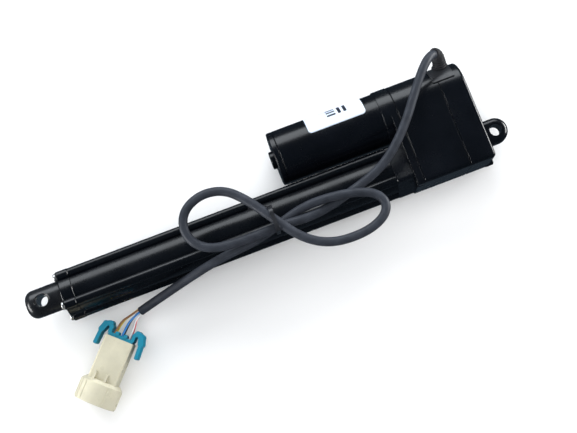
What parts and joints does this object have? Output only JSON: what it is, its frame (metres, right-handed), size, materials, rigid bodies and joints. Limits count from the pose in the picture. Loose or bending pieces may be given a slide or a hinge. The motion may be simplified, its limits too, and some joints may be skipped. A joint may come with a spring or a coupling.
{
  "type": "linear actuator",
  "caption": "Electric linear actuator with a parallel motor, gearbox, extruded tube, round rod, tied cord and six-way connector.",
  "frame": {"origin": "centre of the rear eye bore, on the screw axis", "axes": "+X along the screw axis towards the rod end, +Z normal to the broad gearbox face, the motor at -Y"},
  "size_m": [0.3544, 0.1538, 0.0625],
  "materials": {
    "tube_paint": "satin",
    "casting_paint": "satin",
    "motor_paint": "gloss",
    "rod_finish": "satin",
    "bright_steel": "satin",
    "dark_steel": "satin",
    "gear_steel": "satin",
    "gear_nylon": "matte",
    "nut_plastic": "matte",
    "black_rubber": "matte",
    "black_plastic": "satin",
    "cord_sheath": "matte",
    "label_film": "satin",
    "board_green": "satin",
    "switch_body": "matte",
    "bush_bronze": "satin",
    "core_steel": "satin",
    "copper": "satin",
    "magnet_ferrite": "matte",
    "connector_cream": "satin",
    "contact_metal": "polished",
    "clip_teal": "satin",
    "core_brown": "satin",
    "core_yellow": "satin",
    "core_blue": "satin",
    "core_black": "satin",
    "core_white": "satin",
    "core_red": "satin"
  },
  "bodies": {
    "housing": {"outer_tube": "tube_paint", "front_cap": "casting_paint", "cap_screws": "bright_steel", "rod_wiper": "black_rubber", "guide_bush": "nut_plastic", "limit_board": "board_green", "limit_switches": "switch_body", "rear_bearing": "dark_steel", "front_bearing": "dark_steel", "idler_shaft": "dark_steel", "rear_cover": "casting_paint", "gear_housing": "casting_paint", "front_housing": "casting_paint", "housing_screws": "dark_steel", "tube_screws": "dark_steel", "motor_can": "motor_paint", "motor_end_cap": "motor_paint", "motor_bushes": "bush_bronze", "motor_magnets": "magnet_ferrite", "brush_plate": "black_plastic", "motor_brushes": "magnet_ferrite", "rating_label": "label_film", "wire_outlet": "black_plastic", "strain_relief": "black_rubber", "power_cord": "cord_sheath", "cable_tie": "black_plastic", "connector_housing": "connector_cream", "connector_pins": "contact_metal", "connector_clip": "clip_teal", "core_wire_brown": "core_brown", "core_wire_yellow": "core_yellow", "core_wire_blue": "core_blue", "core_wire_black": "core_black", "core_wire_white": "core_white", "core_wire_red": "core_red"},
    "rod": {"piston_rod": "rod_finish", "drive_nut": "nut_plastic"},
    "screw": {"lead_screw": "dark_steel", "output_gear": "gear_nylon"},
    "idler": {"idler_gear": "gear_nylon"},
    "rotor": {"motor_shaft": "dark_steel", "motor_pinion": "gear_steel", "armature_core": "core_steel", "armature_windings": "copper", "commutator": "copper"}
  },
  "joints": [
    {"name": "rod_slide", "type": "slide", "parent": "housing", "child": "rod", "axis": [1, 0, 0], "range_m": [0, 0.2]},
    {"name": "screw_spin", "type": "hinge", "parent": "housing", "child": "screw", "pos_m": [0.1, 0, 0], "axis": [1, 0, 0], "continuous": true},
    {"name": "idler_spin", "type": "hinge", "parent": "housing", "child": "idler", "pos_m": [0.04, -0.02, 0], "axis": [1, 0, 0], "continuous": true},
    {"name": "motor_spin", "type": "hinge", "parent": "housing", "child": "rotor", "pos_m": [0.1, -0.036, 0], "axis": [1, 0, 0], "continuous": true}
  ],
  "couplings": [
    {"joint": "screw_spin", "follows": "rod_slide", "rad_per_m": -1570.8},
    {"joint": "idler_spin", "follows": "rod_slide", "rad_per_m": 2917.2},
    {"joint": "motor_spin", "follows": "rod_slide", "rad_per_m": -6806.8}
  ]
}
